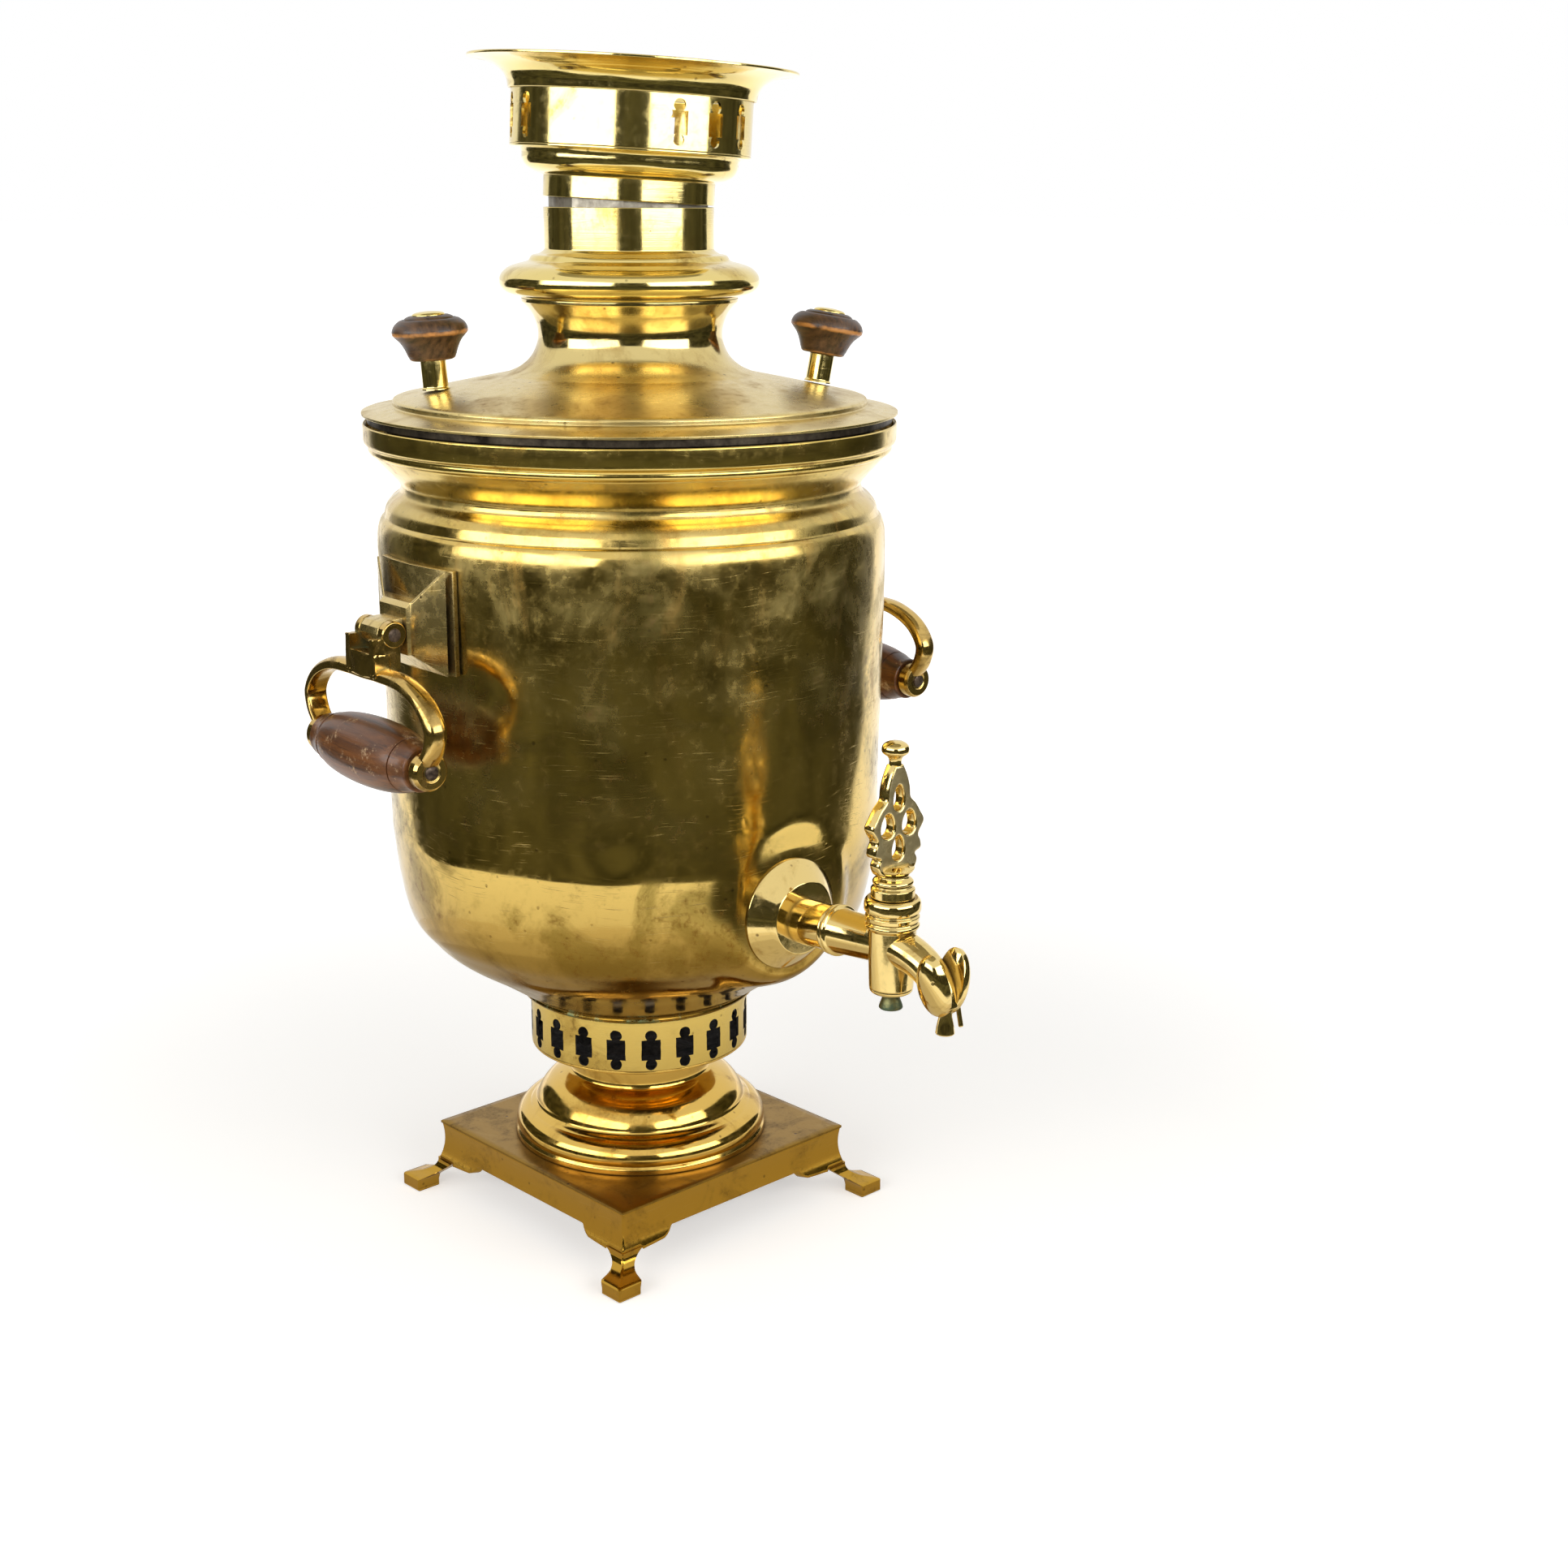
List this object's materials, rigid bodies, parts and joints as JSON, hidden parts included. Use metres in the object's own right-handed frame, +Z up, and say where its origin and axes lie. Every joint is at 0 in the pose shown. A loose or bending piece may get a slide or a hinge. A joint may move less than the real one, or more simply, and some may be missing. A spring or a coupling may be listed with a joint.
{
  "type": "samovar",
  "caption": "Brass charcoal water heater on a square footed plinth, with a turning tap, swinging wood-gripped handles, a lift-off lid and a pierced crown.",
  "frame": {"origin": "centre of the bounding box on the plane that the feet stand on", "axes": "+Z up, the tap points along -Y, the handles along +X and -X"},
  "size_m": [0.2972, 0.3246, 0.5167],
  "materials": {
    "brass": "worn polish with brown and olive patina",
    "tinned_iron": "dull tinning",
    "cast_iron": "fired and sooty",
    "iron_pin": "dark hammered rivet",
    "walnut": "worn varnish",
    "dark_wood": "turned and blackened, worn at the edge"
  },
  "bodies": {
    "samovar_body": {"plinth_plate": "brass", "plinth_skirt": "brass", "foot_back_right": "brass", "foot_back_left": "brass", "foot_front_left": "brass", "foot_front_right": "brass", "pedestal": "brass", "draught_ring": "brass", "flue_tube": "tinned_iron", "fire_grate": "cast_iron", "tank_shell": "brass", "collar_ring": "brass", "wall_shield": "brass", "tap_body": "brass", "bracket_left": "brass", "hinge_pin_left": "iron_pin", "bracket_right": "brass", "hinge_pin_right": "iron_pin"},
    "tap_plug_and_key": {"tap_plug": "brass", "tap_key": "brass"},
    "handle_left": {"bail_left": "brass", "grip_left": "walnut", "grip_pin_left": "iron_pin"},
    "handle_right": {"bail_right": "brass", "grip_right": "walnut", "grip_pin_right": "iron_pin"},
    "lid": {"lid_cover": "brass", "lid_neck": "brass", "lid_skirt": "tinned_iron", "knob_stalk_left": "brass", "lid_knob_left": "dark_wood", "knob_cap_left": "brass", "knob_stalk_right": "brass", "lid_knob_right": "dark_wood", "knob_cap_right": "brass"},
    "crown": {"crown_seat": "brass", "crown_band": "brass", "crown_rim": "brass"}
  },
  "joints": [
    {"name": "tap_turn", "type": "hinge", "parent": "samovar_body", "child": "tap_plug_and_key", "pos_m": [0, -0.12471, 0.17], "axis": [0, 0, 1], "continuous": true},
    {"name": "handle_left_swing", "type": "hinge", "parent": "samovar_body", "child": "handle_left", "pos_m": [-0.129, 0.04631, 0.2874], "axis": [0, 1, 0], "range_deg": [0, 90]},
    {"name": "handle_right_swing", "type": "hinge", "parent": "samovar_body", "child": "handle_right", "pos_m": [0.129, 0.04631, 0.2874], "axis": [0, -1, 0], "range_deg": [0, 90]},
    {"name": "lid_lift", "type": "slide", "parent": "samovar_body", "child": "lid", "axis": [0, 0, 1], "range_m": [0, 0.125]},
    {"name": "crown_lift", "type": "slide", "parent": "lid", "child": "crown", "axis": [0, 0, 1], "range_m": [0, 0.03]}
  ]
}
